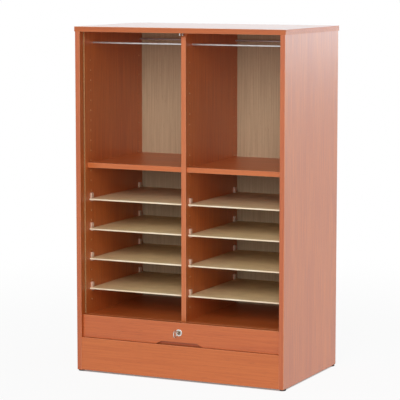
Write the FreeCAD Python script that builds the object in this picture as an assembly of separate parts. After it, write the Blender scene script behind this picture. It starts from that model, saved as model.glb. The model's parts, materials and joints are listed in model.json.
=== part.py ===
import FreeCAD, Part
import math
import os

# Carcass sizes, in millimetres; y runs back from the front edge of the sides
height = 1100.0  # floor to the upper face of the top panel
width = 716.0  # across the outer faces of the sides
depth = 434.0  # front edge to rear edge of a side
board = 16.0  # thickness of the carcass boards
edge_easing = 1.0  # small bevel on the banded front edges
top_side_overhang = 2.0
top_back_overhang = 2.0
plinth_top = 110.5
plinth_setback = 2.0
base_top = 181.0  # upper face of the bottom board
bottom_setback = 44.0
divider_setback = 42.0
divider_notch = 14.0  # slanted cut at the divider's upper front corner
fixed_shelf_top = 667.0
fixed_shelf_setback = 50.0
back_thickness = 3.2
back_rebate_depth = 4.0
back_rebate_width = 8.0
back_edge_gap = 0.4

# Feet
glide_height = 5.0
glide_diameter = 20.0
glide_rim = 1.25  # bevel round the foot of a glide
glide_setback = 15.0
glide_pin_diameter = 3.0
glide_pin_length = 14.0

# Loose shelves and their clips
thin_shelf = 5.0
shelf_setback = 56.0
shelf_back_gap = 4.0
shelves_per_bay = 4
hole_pitch = 32.0  # step of the shelf heights
lowest_shelf_rise = 82.0  # lowest shelf's upper face above the bottom board's
clip_setback = 71.0  # centre of the front clips
clip_back_gap = 24.0  # centre of the rear clips to the back panel
clip_width = 12.0
clip_plate = 1.2
clip_ledge = 8.0
clip_ledge_thickness = 4.0
clip_tab = 6.0
clip_tab_height = 17.0
clip_pin_diameter = 5.0
clip_pin_stop = 1.0  # pin tip to the middle of the board
clip_seat_gap = 0.3

# Hanging rods
rod_diameter = 6.0
rod_drop = 37.0  # rod axis below the top panel
front_rod_setback = 90.0
rear_rod_gap = 12.0  # rear rod axis to the back panel
rod_end_stop = 1.0  # rod end to the middle of the board

# Guide groove for the curtain
groove_clearance = 0.45  # slat to either wall, also in the tightest bend
groove_depth = 6.0
groove_setback = 24.4
front_bend_radius = 50.0
lower_run_height = 24.0
upper_run_gap = 17.0  # groove axis below the bottom board
rear_turn_gap = 20.0  # groove axis to the rear edge of the sides
inner_turn_radius = 38.0
inner_turn_gap = 45.0  # inner turn to the front run
inner_run_length = 190.0

# Curtain slats: a bead at the upper edge hangs in the socket of the slat above
slat_pitch = 25.0
bead_radius = 1.0
bead_clearance = 0.25
neck_half = 0.45
socket_wall = 0.85
socket_gap = 0.3  # socket to the front skin of the slat below
shoulder_gap = 1.1  # socket to the shoulder of the slat below
slat_skin = 1.1
slat_crown = 0.5
slat_gap = 0.25  # half the gap between two front faces
slat_end_gap = 1.0  # slat end to the bottom of the groove
lip_margin = 2.0  # degrees of swing left over at the socket's lips
lip_facets = 2
socket_facets = 5
curtain_overlap = 30.0  # curtain left behind the plinth when closed
stored_stretches = 5

# Lead rail
rail_setback = 10.0
rail_back_wall = 1.4  # wood behind the rear face of the slats
rail_height = 72.0
rail_rest_gap = 0.5
rail_closed_gap = 1.0
rail_side_gap = 1.5
tongue_clearance = 1.0
hinge_rise = 2.5  # first hinge line above the rail's lower face
skin_slot_gap = 0.3
finger_width = 160.0
finger_top_width = 124.0
finger_height = 10.0
finger_depth = 9.0
finger_corner_radius = 14.0

# Lock, hook bolt and key
lock_below_top = 31.5  # key axis below the rail's upper face
lock_wall = 10.0  # wood ahead of the lock pocket
rosette_diameter = 22.0
rosette_height = 2.5
rosette_dish = 0.8
barrel_diameter = 16.0
barrel_clearance = 0.1
plug_diameter = 10.0
plug_clearance = 0.08
plug_proud = 0.3
tail_size = 6.0
tail_clearance = 0.05
hook_thickness = 3.0
hook_gap = 1.0
hook_hub_diameter = 16.0
hook_arm_width = 6.0
claw_clearance = 0.5
claw_thickness = 3.0
claw_tip_angle = 16.0
claw_sweep = 96.0
claw_facets = 8
arm_inset_angle = 4.0
pocket_clearance = 1.0
cover_thickness = 2.0
cover_margin = 12.0
cover_edge_gap = 0.2
screw_inset = 6.0
screw_diameter = 3.0
screw_head_diameter = 5.6
screw_length = 9.0
keyway_width = 1.6
keyway_height = 7.0
key_fit = 0.15
key_depth = 9.0
key_shank = 12.0
key_shank_height = 5.0
key_bow_diameter = 25.0
key_bow_thickness = 2.2
key_hole_diameter = 16.0
lock_facets = 24

# Wire staple under the top panel
staple_wire = 4.0
staple_drop = 15.5
staple_bend = 5.0
staple_root = 10.0
staple_front_gap = 7.0  # front leg behind the rail's front face
staple_rear_gap = 4.0  # rear leg ahead of the divider
staple_slot_gap = 2.5
staple_facets = 8
staple_bend_steps = 4

# Dowels and screws
dowel_diameter = 8.0
dowel_face_depth = 10.0  # in the face of a board
dowel_end_depth = 20.0  # in the end of a board
dowel_inset = 60.0
dowel_fit = 0.1
dowel_end_gap = 0.5
small_facets = 6
round_facets = 12
back_screws_per_side = 4
back_screw_diameter = 3.0
back_screw_length = 14.0
back_screw_head = 7.0
back_screw_head_height = 2.0
back_screw_end_gap = 80.0

# Places worked out from the sizes
half = width / 2
inner = half - board
carcass_top = height - board
back_face = depth - back_rebate_depth
bottom_face = base_top - board
upper_run = bottom_face - upper_run_gap
rear_turn_radius = (upper_run - lower_run_height) / 2
cavity_radius = bead_radius + bead_clearance
slat_back = cavity_radius + socket_wall  # hinge line to the rear face
skin_inner = slat_back + socket_gap
slat_front = skin_inner + slat_skin  # hinge line to the crown of the front face
shoulder_drop = slat_back + shoulder_gap
tightest = min(front_bend_radius, rear_turn_radius, inner_turn_radius)
slat_sag = tightest - math.sqrt(tightest**2 - (slat_pitch / 2) ** 2)
groove_width = slat_front + slat_back + slat_sag + 2 * groove_clearance
slat_hinge_offset = (slat_back + slat_sag - slat_front) / 2  # hinge line ahead of the groove axis
groove_axis = groove_setback + groove_width / 2
hinge_y = groove_axis - slat_hinge_offset
rail_rear = hinge_y + slat_back + rail_back_wall
rail_low = plinth_top + rail_rest_gap
rail_top = rail_low + rail_height
travel = carcass_top - rail_closed_gap - rail_top
lock_z = rail_top - lock_below_top
pocket_front = rail_setback + lock_wall
pocket_rear = rail_rear - cover_thickness
bar_rise = lock_below_top + rail_closed_gap - (staple_drop - staple_wire / 2)
claw_inner = bar_rise + staple_wire / 2 + claw_clearance
claw_outer = claw_inner + claw_thickness
pocket_radius = claw_outer + pocket_clearance
slot_half = staple_wire / 2 + staple_slot_gap
slot_low = rail_top - staple_drop - pocket_clearance
lock_face = rail_setback - rosette_height
key_tip = lock_face - key_shank - key_bow_diameter
rear_face = depth + top_back_overhang
middle_y = (key_tip + rear_face) / 2
rear_turn_y = depth - rear_turn_gap - rear_turn_radius
rear_turn_z = lower_run_height + rear_turn_radius
front_bend_y = groove_axis + front_bend_radius
front_bend_z = lower_run_height + front_bend_radius
inner_turn_y = groove_axis + inner_turn_gap + inner_turn_radius
inner_run = upper_run - 2 * inner_turn_radius
slat_end = inner + groove_depth - slat_end_gap
shelf_room = (fixed_shelf_top - board - base_top) / (shelves_per_bay + 1)
shelf_pitch = hole_pitch * round(shelf_room / hole_pitch)
lowest_shelf_top = base_top + lowest_shelf_rise
shelf_tops = [lowest_shelf_top + i * shelf_pitch for i in range(shelves_per_bay)][::-1]
clip_pin_length = board / 2 - clip_pin_stop
rod_end_depth = board / 2 - rod_end_stop
clip_rows = [clip_setback, back_face - clip_back_gap]
rod_rows = {"front": front_rod_setback, "rear": back_face - rear_rod_gap}
rod_z = carcass_top - rod_drop
bays = {"left": (-inner, -board / 2), "right": (board / 2, inner)}

Vector = FreeCAD.Vector
x_axis = Vector(1, 0, 0)
y_axis = Vector(0, 1, 0)
z_axis = Vector(0, 0, 1)


def save(name, shape):
    """Write one piece, moved so that the origin lies under the middle of the whole object."""
    placed = shape.copy()
    placed.translate(Vector(0, -middle_y, 0))
    placed.exportStep("parts/" + name + ".step")


def block(x0, x1, y0, y1, z0, z1):
    return Part.makeBox(x1 - x0, y1 - y0, z1 - z0, Vector(x0, y0, z0))


def face_from(start, steps, to_space):
    """Face inside an outline: a step of one point is a line, of two points an arc through the first."""
    edges = []
    here = to_space(*start)
    for step in steps:
        there = to_space(*step[-1])
        if len(step) == 2:
            edges.append(Part.Arc(here, to_space(*step[0]), there).toShape())
        else:
            edges.append(Part.LineSegment(here, there).toShape())
        here = there
    return Part.Face(Part.Wire(edges))


def eased_outline(t0, t1, front, rear):
    """Board section: t across its thickness, with both corners of the front edge bevelled."""
    cut = edge_easing
    points = [(t0, front + cut), (t0 + cut, front), (t1 - cut, front), (t1, front + cut)]
    points += [(t1, rear), (t0, rear)]
    return (t0, rear), [(p,) for p in points]


def upright_board(x0, x1, front, rear, z0, z1):
    start, steps = eased_outline(x0, x1, front, rear)
    return face_from(start, steps, lambda t, y: Vector(t, y, z0)).extrude(z_axis * (z1 - z0))


def level_board(x0, x1, front, rear, z0, z1):
    start, steps = eased_outline(z0, z1, front, rear)
    return face_from(start, steps, lambda t, y: Vector(x0, y, t)).extrude(x_axis * (x1 - x0))


across = {"x": (y_axis, z_axis), "y": (z_axis, x_axis), "z": (x_axis, y_axis)}
along = {"x": x_axis, "y": y_axis, "z": z_axis}


def facet_ring(centre, axis, radius, facets):
    """Corners of a regular outline about a centre, square to the X, Y or Z axis."""
    first, second = across[axis]
    corners = []
    for i in range(facets):
        turn = 2 * math.pi * (i + 0.5) / facets
        corners.append(centre + first * (radius * math.cos(turn)) + second * (radius * math.sin(turn)))
    return corners


def closed(corners):
    return Part.makePolygon(corners + corners[:1])


def faceted_pin(centre, axis, radius, length, facets=small_facets):
    """Pin of few facets, from its centre point both ways along an axis."""
    corners = facet_ring(centre - along[axis] * (length / 2), axis, radius, facets)
    return Part.Face(closed(corners)).extrude(along[axis] * length)


def round_hole(centre, axis, diameter, length):
    """Faceted hole that a round piece of the given diameter passes with the usual fit."""
    radius = (diameter / 2 + dowel_fit) / math.cos(math.pi / round_facets)
    return faceted_pin(centre, axis, radius, length, round_facets)


def cut_all(shape, tools):
    return shape.cut(tools) if tools else shape


# Guide groove: straight runs and arcs in the Y-Z plane, from the top of the sides inwards
groove_runs = [
    ("line", (groove_axis, carcass_top), (groove_axis, front_bend_z)),
    ("arc", (front_bend_y, front_bend_z), front_bend_radius, math.pi, 1.5 * math.pi),
    ("line", (front_bend_y, lower_run_height), (rear_turn_y, lower_run_height)),
    ("arc", (rear_turn_y, rear_turn_z), rear_turn_radius, -math.pi / 2, math.pi / 2),
    ("line", (rear_turn_y, upper_run), (inner_turn_y, upper_run)),
    ("arc", (inner_turn_y, upper_run - inner_turn_radius), inner_turn_radius, math.pi / 2, 1.5 * math.pi),
    ("line", (inner_turn_y, inner_run), (inner_turn_y + inner_run_length, inner_run)),
]


def run_length(run):
    if run[0] == "line":
        return math.dist(run[1], run[2])
    return run[2] * (run[4] - run[3])


def groove_tool(run, x0, x1):
    """Cutter for one run of the groove between two X planes."""
    reach = groove_width / 2
    if run[0] == "line":
        ys = sorted((run[1][0], run[2][0]))
        zs = sorted((run[1][1], run[2][1]))
        if ys[0] == ys[1]:
            return block(x0, x1, ys[0] - reach, ys[1] + reach, zs[0], zs[1])
        return block(x0, x1, ys[0], ys[1], zs[0] - reach, zs[1] + reach)
    centre, radius, first, last = run[1:]

    def spot(distance, turn):
        return (centre[0] + distance * math.cos(turn), centre[1] + distance * math.sin(turn))

    middle = (first + last) / 2
    outer = radius + reach
    nearer = radius - reach
    steps = [
        (spot(outer, middle), spot(outer, last)),
        (spot(nearer, last),),
        (spot(nearer, middle), spot(nearer, first)),
        (spot(outer, first),),
    ]
    section = face_from(spot(outer, first), steps, lambda y, z: Vector(x0, y, z))
    return section.extrude(x_axis * (x1 - x0))


# Holes shared by the boards
def dowel_list():
    """Centre, axis and length of every dowel."""
    joint = dowel_face_depth + dowel_end_depth
    shift = (dowel_end_depth - dowel_face_depth) / 2
    found = []
    for side in (-1, 1):
        for level, front in ((base_top, bottom_setback), (fixed_shelf_top, fixed_shelf_setback)):
            for y in (front + dowel_inset, back_face - dowel_inset):
                found.append((Vector(side * (inner - shift), y, level - board / 2), "x", joint))
        plinth_y = plinth_setback + board / 2
        plinth_z = (glide_height + plinth_top) / 2
        found.append((Vector(side * (inner - shift), plinth_y, plinth_z), "x", joint))
        for y in (dowel_inset, depth - dowel_inset):
            found.append((Vector(side * (half - board / 2), y, carcass_top - shift), "z", joint))
    for y in (divider_setback + dowel_inset, back_face - dowel_inset):
        found.append((Vector(0, y, carcass_top - shift), "z", joint))
        found.append((Vector(0, y, base_top + shift), "z", joint))
    for y in (fixed_shelf_setback + dowel_inset, back_face - dowel_inset):
        found.append((Vector(0, y, fixed_shelf_top - board / 2), "x", board + 2 * dowel_end_depth))
    return found


dowels = [faceted_pin(c, axis, dowel_diameter / 2, length) for c, axis, length in dowel_list()]
dowel_holes = [
    faceted_pin(c, axis, dowel_diameter / 2 + dowel_fit, length + 2 * dowel_end_gap)
    for c, axis, length in dowel_list()
]


def rod_holes(x):
    """Holes for the rod ends in one upright face, both rows."""
    length = 2 * (rod_end_depth + dowel_end_gap)
    return [round_hole(Vector(x, y, rod_z), "x", rod_diameter, length) for y in rod_rows.values()]


def clip_pin(x, y, top, grown):
    """Pin of a shelf clip, centred on the face that it plugs into."""
    z = top - thin_shelf - clip_ledge_thickness / 2
    length = 2 * (clip_pin_length + (dowel_end_gap if grown else 0))
    radius = clip_pin_diameter / 2 + (dowel_fit if grown else 0)
    return faceted_pin(Vector(x, y, z), "x", radius, length)


def clip_holes(x):
    return [clip_pin(x, y, top, True) for y in clip_rows for top in shelf_tops]


def back_screw_spots():
    x = half - board + back_rebate_width / 2
    low = glide_height + back_screw_end_gap
    step = (carcass_top - back_screw_end_gap - low) / (back_screws_per_side - 1)
    return [(side * x, low + i * step) for side in (-1, 1) for i in range(back_screws_per_side)]


def back_screw(x, z, grown):
    """Flat-headed screw through the back panel into the side; grown, it is the hole for the shank."""
    panel_rear = back_face + back_thickness
    radius = back_screw_diameter / 2 + (dowel_fit if grown else 0)
    length = back_screw_length + (dowel_end_gap if grown else 0)
    shank = faceted_pin(Vector(x, panel_rear - length / 2, z), "y", radius, length)
    if grown:
        return shank
    head_middle = Vector(x, panel_rear + back_screw_head_height / 2, z)
    head = faceted_pin(head_middle, "y", back_screw_head / 2, back_screw_head_height)
    return shank.fuse(head).removeSplitter()


back_screw_holes = [back_screw(x, z, True) for x, z in back_screw_spots()]


def glide_pin(side, y, grown):
    radius = glide_pin_diameter / 2 + (dowel_fit if grown else 0)
    length = glide_pin_length + (dowel_end_gap if grown else 0)
    return faceted_pin(Vector(side * (half - board / 2), y, glide_height + length / 2), "z", radius, length)


mitred = 1  # corner style of a swept section
glide_rows = [glide_setback, depth - glide_setback]


# Sides, with the groove, the rear rebate and all their holes
def left_side():
    side = upright_board(-half, -inner, 0, depth, glide_height, carcass_top)
    rebate = block(-inner - back_rebate_width, -inner, back_face, depth, glide_height, carcass_top)
    tools = [groove_tool(run, -inner - groove_depth, -inner) for run in groove_runs]
    tools += [rebate] + rod_holes(-inner) + clip_holes(-inner) + dowel_holes + back_screw_holes
    tools += [glide_pin(-1, y, True) for y in glide_rows]
    return cut_all(side, tools)


# Staple: one bent wire, with both ends in the top panel
staple_front_y = rail_setback + staple_front_gap
staple_rear_y = divider_setback - staple_rear_gap
staple_axis_z = carcass_top - staple_drop + staple_wire / 2


def staple_line():
    """Middle line of the wire: down the front leg, round both bends and up the rear leg."""
    top = carcass_top + staple_root
    bend_z = staple_axis_z + staple_bend
    bends = [
        (staple_front_y + staple_bend, math.pi),
        (staple_rear_y - staple_bend, 1.5 * math.pi),
    ]
    points = [(staple_front_y, top)]
    for bend_y, first in bends:
        for i in range(staple_bend_steps + 1):
            turn = first + math.pi / 2 * i / staple_bend_steps
            points.append((bend_y + staple_bend * math.cos(turn), bend_z + staple_bend * math.sin(turn)))
    points.append((staple_rear_y, top))
    return Part.makePolygon([Vector(0, y, z) for y, z in points])


def strike_staple():
    start = Vector(0, staple_front_y, carcass_top + staple_root)
    section = closed(facet_ring(start, "z", staple_wire / 2, staple_facets))
    return staple_line().makePipeShell([section], True, False, mitred)


def staple_holes():
    length = 2 * (staple_root + dowel_end_gap)
    return [
        round_hole(Vector(0, y, carcass_top), "z", staple_wire, length)
        for y in (staple_front_y, staple_rear_y)
    ]


# Horizontal boards, divider, plinth and back
def top_panel():
    reach = half + top_side_overhang
    panel = level_board(-reach, reach, 0, rear_face, carcass_top, height)
    return cut_all(panel, dowel_holes + staple_holes())


def centre_divider():
    divider = upright_board(-board / 2, board / 2, divider_setback, back_face, base_top, carcass_top)
    notch = face_from(
        (divider_setback, carcass_top),
        [
            ((divider_setback, carcass_top - divider_notch),),
            ((divider_setback + divider_notch, carcass_top),),
            ((divider_setback, carcass_top),),
        ],
        lambda y, z: Vector(-board / 2, y, z),
    ).extrude(x_axis * board)
    holes = rod_holes(-board / 2) + rod_holes(board / 2)
    holes += clip_holes(-board / 2) + clip_holes(board / 2)
    return cut_all(divider, [notch] + holes + dowel_holes)


def fixed_shelf(bay):
    x0, x1 = bays[bay]
    shelf = level_board(x0, x1, fixed_shelf_setback, back_face, fixed_shelf_top - board, fixed_shelf_top)
    return cut_all(shelf, dowel_holes)


def bottom_panel():
    panel = level_board(-inner, inner, bottom_setback, back_face, bottom_face, base_top)
    return cut_all(panel, dowel_holes)


def plinth_board():
    rear = plinth_setback + board
    plinth = level_board(-inner, inner, plinth_setback, rear, glide_height, plinth_top)
    return cut_all(plinth, dowel_holes)


def back_panel():
    reach = inner + back_rebate_width - back_edge_gap
    panel = block(-reach, reach, back_face, back_face + back_thickness, glide_height, carcass_top)
    return cut_all(panel, back_screw_holes)


# Loose shelves and clips
def thin_shelf_board(bay, top):
    gap = clip_plate + clip_seat_gap
    x0, x1 = bays[bay]
    return level_board(x0 + gap, x1 - gap, shelf_setback, back_face - shelf_back_gap, top - thin_shelf, top)


def shelf_clip(x, inward, y, top):
    """Clip on the face at x: a ledge under the shelf, a thin plate beside it and a tab above it."""
    under = top - thin_shelf
    over = top + clip_seat_gap
    points = [
        (0, under - clip_ledge_thickness),
        (clip_ledge, under - clip_ledge_thickness),
        (clip_ledge, under),
        (clip_plate, under),
        (clip_plate, over),
        (clip_tab, over),
        (clip_tab, over + clip_tab_height - clip_tab / 2),
        (clip_tab / 2, over + clip_tab_height),
        (0, over + clip_tab_height),
    ]
    corners = [Vector(x + inward * a, y - clip_width / 2, z) for a, z in points]
    body = Part.Face(closed(corners)).extrude(y_axis * clip_width)
    pin = faceted_pin(
        Vector(x - inward * clip_pin_length / 2, y, under - clip_ledge_thickness / 2),
        "x",
        clip_pin_diameter / 2,
        clip_pin_length,
    )
    return body.fuse(pin).removeSplitter()


def bay_clips(bay):
    x0, x1 = bays[bay]
    clips = []
    for top in shelf_tops:
        for y in clip_rows:
            clips += [shelf_clip(x0, 1, y, top), shelf_clip(x1, -1, y, top)]
    return Part.makeCompound(clips)


def hanging_rod(bay, row):
    x0, x1 = bays[bay]
    start = Vector(x0 - rod_end_depth, rod_rows[row], rod_z)
    return Part.makeCylinder(rod_diameter / 2, x1 - x0 + 2 * rod_end_depth, start, x_axis)


def foot_glides():
    glides = []
    for side in (-1, 1):
        for y in glide_rows:
            centre = Vector(side * (half - board / 2), y, 0)
            radius = glide_diameter / 2
            lower = facet_ring(centre, "z", radius - glide_rim, round_facets)
            upper = facet_ring(centre + z_axis * glide_rim, "z", radius, round_facets)
            foot = Part.makeLoft([closed(lower), closed(upper)], True, True)
            collar_middle = centre + z_axis * ((glide_rim + glide_height) / 2)
            collar = faceted_pin(collar_middle, "z", radius, glide_height - glide_rim, round_facets)
            glides.append(foot.fuse([collar, glide_pin(side, y, False)]).removeSplitter())
    return Part.makeCompound(glides)


# Slats, drawn along s down the curtain and n towards the inside of the spiral
def ring(centre_s, radius, first, last, facets):
    """Points on a circle about a hinge line, angles in degrees from the s axis."""
    points = []
    for i in range(facets + 1):
        turn = math.radians(first + (last - first) * i / facets)
        points.append((centre_s + radius * math.cos(turn), radius * math.sin(turn)))
    return points


neck_angle = math.degrees(math.asin(neck_half / bead_radius))
bend_angle = 2 * math.degrees(math.asin(slat_pitch / 2 / tightest))
lip_low = -neck_angle - lip_margin
lip_high = neck_angle + bend_angle + lip_margin


def slat_face(to_space):
    """Section of one slat; the bead lies at s = 0 and the socket at s = slat_pitch."""
    pitch = slat_pitch
    edge = slat_front - slat_crown
    start_angle = -90 - math.degrees(math.asin(slat_gap / slat_back))
    points = ring(pitch, slat_back, start_angle, lip_low, lip_facets)
    points += ring(pitch, cavity_radius, lip_low, lip_high - 360, socket_facets)
    points += ring(pitch, slat_back, lip_high, max(lip_high, 90), 1)
    points += [(shoulder_drop, slat_back), (shoulder_drop, neck_half)]
    points += ring(0, bead_radius, neck_angle, 360 - neck_angle, socket_facets)
    points += [(shoulder_drop, -neck_half), (shoulder_drop, -skin_inner), (slat_gap, -skin_inner)]
    steps = [((pitch / 2, -slat_front), (pitch - slat_gap, -edge))]
    steps += [(p,) for p in points]
    steps += [((slat_gap, -edge),)]
    return face_from((slat_gap, -edge), steps, to_space)


# Hinge path: the groove axis moved outwards, from the first hinge line inwards
first_hinge_z = rail_low + hinge_rise
hinge_runs = []
for run in groove_runs:
    if run[0] == "arc":
        hinge_runs.append((run[0], run[1], run[2] + slat_hinge_offset, run[3], run[4]))
    else:
        heading = math.atan2(run[2][1] - run[1][1], run[2][0] - run[1][0])
        shift_y = slat_hinge_offset * math.sin(heading)
        shift_z = -slat_hinge_offset * math.cos(heading)
        ends = [(y + shift_y, z + shift_z) for y, z in run[1:]]
        hinge_runs.append((run[0], ends[0], ends[1]))
hinge_runs[0] = ("line", (hinge_y, first_hinge_z), hinge_runs[0][2])


def hinge_point(distance):
    """Point of the hinge path at a distance along it."""
    for run in hinge_runs:
        length = run_length(run)
        if distance <= length or run is hinge_runs[-1]:
            break
        distance -= length
    if run[0] == "line":
        share = distance / length
        return tuple(a + (b - a) * share for a, b in zip(run[1], run[2]))
    turn = run[3] + distance / run[2]
    return (run[1][0] + run[2] * math.cos(turn), run[1][1] + run[2] * math.sin(turn))


halvings = 50  # steps of the search for a hinge line


def next_hinge(distance):
    """Distance along the path of the point one slat pitch away in a straight line."""
    here = hinge_point(distance)
    low = distance
    high = distance + 2 * slat_pitch
    for _ in range(halvings):
        middle = (low + high) / 2
        if math.dist(here, hinge_point(middle)) < slat_pitch:
            low = middle
        else:
            high = middle
    return low


slat_count = math.ceil((first_hinge_z + travel - plinth_top + curtain_overlap) / slat_pitch)


def slat_node(number):
    """The first slat hangs on the lead rail; the others are stored in stretches of equal length."""
    if number == 0:
        return "lead_slat"
    return "stored_slats_" + str(1 + (number - 1) * stored_stretches // (slat_count - 1))


def curtain():
    groups = {}
    distance = 0.0
    for number in range(slat_count):
        after = next_hinge(distance)
        a = hinge_point(distance)
        b = hinge_point(after)
        sy = (b[0] - a[0]) / slat_pitch
        sz = (b[1] - a[1]) / slat_pitch

        def to_space(s, n, a=a, sy=sy, sz=sz):
            return Vector(-slat_end, a[0] + s * sy - n * sz, a[1] + s * sz + n * sy)

        slat = slat_face(to_space).extrude(x_axis * (2 * slat_end))
        groups.setdefault(slat_node(number), []).append(slat)
        distance = after
    return groups


# Lead rail
def lock_rod(radius, y0, y1):
    return Part.makeCylinder(radius, y1 - y0, Vector(0, y0, lock_z), y_axis)


def lock_disc(radius, y0, y1):
    return faceted_pin(Vector(0, (y0 + y1) / 2, lock_z), "y", radius, y1 - y0, lock_facets)


cover_half_width = pocket_radius + cover_margin
cover_half_height = pocket_radius + pocket_clearance
cover_screw_spots = [
    (sx * (cover_half_width - screw_inset), lock_z + sz * (cover_half_height - screw_inset))
    for sx in (-1, 1)
    for sz in (-1, 1)
]


def staple_slot(y0):
    return block(-slot_half, slot_half, y0, rail_rear, slot_low, rail_top)


def finger_recess():
    """Shallow cut in the rail's lower front edge, wider below and rounded at its upper corners."""
    low = finger_width / 2
    top = finger_top_width / 2
    ceiling = rail_low + finger_height
    corners = [(-low, rail_low), (low, rail_low), (top, ceiling), (-top, ceiling)]
    outline = closed([Vector(x, rail_setback, z) for x, z in corners])
    recess = Part.Face(outline).extrude(y_axis * finger_depth)
    upper_middle = rail_low + finger_height / 2
    upper_corners = [
        edge for edge in recess.Edges
        if edge.BoundBox.ZMin > upper_middle and edge.BoundBox.YLength > finger_depth / 2
    ]
    return recess.makeFillet(finger_corner_radius, upper_corners)


def hinge_channel():
    """Keyhole groove for the first bead and a slot for the first slat's front skin."""
    reach = slat_end
    opening = ring(0, cavity_radius, lip_low, lip_high - 360, socket_facets)
    flare = [
        (hinge_rise / math.cos(math.radians(lip_high)), lip_high),
        (hinge_rise / math.cos(math.radians(lip_low)), lip_low),
    ]
    for distance, angle in flare:
        turn = math.radians(angle)
        opening.append((distance * math.cos(turn), distance * math.sin(turn)))
    corners = [Vector(-reach, hinge_y + n, first_hinge_z - s) for s, n in opening]
    groove = Part.Face(closed(corners)).extrude(x_axis * (2 * reach))
    skin_front = hinge_y - slat_front - skin_slot_gap
    skin_rear = hinge_y - skin_inner + skin_slot_gap
    slot = block(-reach, reach, skin_front, skin_rear, rail_low, first_hinge_z + skin_slot_gap)
    return [groove, slot]


def screw_shank(x, z, grown):
    radius = screw_diameter / 2 + (dowel_fit if grown else 0)
    length = screw_length + (dowel_end_gap if grown else 0)
    return faceted_pin(Vector(x, rail_rear - length / 2, z), "y", radius, length)


def screw_head(x, z, grown):
    radius = screw_head_diameter / 2 + (dowel_fit if grown else 0)
    rise = cover_thickness / 2
    return faceted_pin(Vector(x, rail_rear - rise / 2, z), "y", radius, rise)


def lead_rail():
    end = inner - rail_side_gap
    rail = level_board(-end, end, rail_setback, rail_rear, rail_low, rail_top)
    tongue_front = groove_setback + tongue_clearance
    tongue_rear = groove_setback + groove_width - tongue_clearance
    root = end - groove_width
    for side in (-1, 1):
        xs = sorted((side * root, side * slat_end))
        tongue = block(xs[0], xs[1], tongue_front, tongue_rear, rail_low, rail_top)
        rail = rail.fuse(tongue)
    rail = rail.removeSplitter()
    gap = cover_edge_gap
    cover_bed = block(
        -cover_half_width - gap,
        cover_half_width + gap,
        pocket_rear,
        rail_rear,
        lock_z - cover_half_height - gap,
        lock_z + cover_half_height + gap,
    )
    tools = [
        finger_recess(),
        lock_disc(barrel_diameter / 2 + barrel_clearance, rail_setback, pocket_front),
        lock_disc(pocket_radius, pocket_front, pocket_rear),
        cover_bed,
        staple_slot(staple_front_y - slot_half),
    ]
    tools += hinge_channel()
    tools += [screw_shank(x, z, True) for x, z in cover_screw_spots]
    return cut_all(rail, tools)


# Lock
def turned(points):
    """Faceted turned piece about the key axis; each point is a radius and a place along y."""
    rings = [facet_ring(Vector(0, y, lock_z), "y", radius, lock_facets) for radius, y in points]
    faces = []
    for near, far in zip(rings, rings[1:] + rings[:1]):
        for i in range(lock_facets):
            corners = [near[i - 1], near[i], far[i], far[i - 1]]
            faces.append(Part.Face(closed(corners)))
    solid = Part.Solid(Part.Shell(faces)).removeSplitter()
    if solid.Volume < 0:
        solid.reverse()
    return solid


def lock_barrel():
    rim = rosette_diameter / 2
    dish = lock_face + rosette_dish
    body = barrel_diameter / 2
    core = plug_diameter / 4
    barrel = turned([
        (core, lock_face),
        (body - rosette_dish, lock_face),
        (body, dish),
        (rim - 2 * rosette_dish, dish),
        (rim - rosette_dish, lock_face),
        (rim, lock_face + rosette_dish),
        (rim, rail_setback),
        (body, rail_setback),
        (body, pocket_front),
        (core, pocket_front),
    ])
    return barrel.cut(lock_rod(plug_diameter / 2 + plug_clearance, lock_face, pocket_front))


hook_front = pocket_front + hook_gap
hook_rear = hook_front + hook_thickness
keyway_deep = lock_face - plug_proud + key_depth + 2 * key_fit


def tail_block(size, y0, y1):
    return block(-size / 2, size / 2, y0, y1, lock_z - size / 2, lock_z + size / 2)


def lock_plug():
    plug = lock_rod(plug_diameter / 2, lock_face - plug_proud, hook_front)
    plug = plug.fuse(tail_block(tail_size, hook_front, hook_rear)).removeSplitter()
    keyway = block(
        -keyway_width / 2,
        keyway_width / 2,
        lock_face - plug_proud,
        keyway_deep,
        lock_z - keyway_height / 2,
        lock_z + keyway_height / 2,
    )
    bore = lock_disc(screw_diameter / 2 + dowel_fit, hook_rear - tail_size, hook_rear)
    return cut_all(plug, [keyway, bore])


def hook_bolt():
    """Plate on the plug: hub, arm and a claw that is part of a ring about the key axis."""
    first = -claw_tip_angle
    last = -claw_tip_angle - claw_sweep

    def spot(radius, angle):
        turn = math.radians(angle)
        return Vector(radius * math.sin(turn), hook_front, lock_z + radius * math.cos(turn))

    turns = [first + (last - first) * i / claw_facets for i in range(claw_facets + 1)]
    outline = [spot(claw_outer, turn) for turn in turns]
    outline += [spot(claw_inner, turn) for turn in reversed(turns)]
    claw = Part.Face(closed(outline)).extrude(y_axis * hook_thickness)
    arm = block(
        -hook_arm_width / 2,
        hook_arm_width / 2,
        hook_front,
        hook_rear,
        lock_z,
        lock_z + (claw_inner + claw_outer) / 2,
    )
    arm.rotate(Vector(0, 0, lock_z), y_axis, last + arm_inset_angle)
    hub = lock_disc(hook_hub_diameter / 2, hook_front, hook_rear)
    hook = hub.fuse([arm, claw]).removeSplitter()
    return hook.cut(tail_block(tail_size + 2 * tail_clearance, hook_front, hook_rear))


def hook_screw():
    head = lock_disc(plug_diameter / 2, hook_rear, hook_rear + cover_thickness)
    shank = lock_disc(screw_diameter / 2, hook_rear - tail_size + dowel_end_gap, hook_rear)
    return head.fuse(shank)


def lock_cover():
    plate = block(
        -cover_half_width,
        cover_half_width,
        pocket_rear,
        rail_rear,
        lock_z - cover_half_height,
        lock_z + cover_half_height,
    )
    tools = [staple_slot(pocket_rear)]
    for x, z in cover_screw_spots:
        tools += [screw_shank(x, z, True), screw_head(x, z, True)]
    return cut_all(plate, tools)


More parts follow.
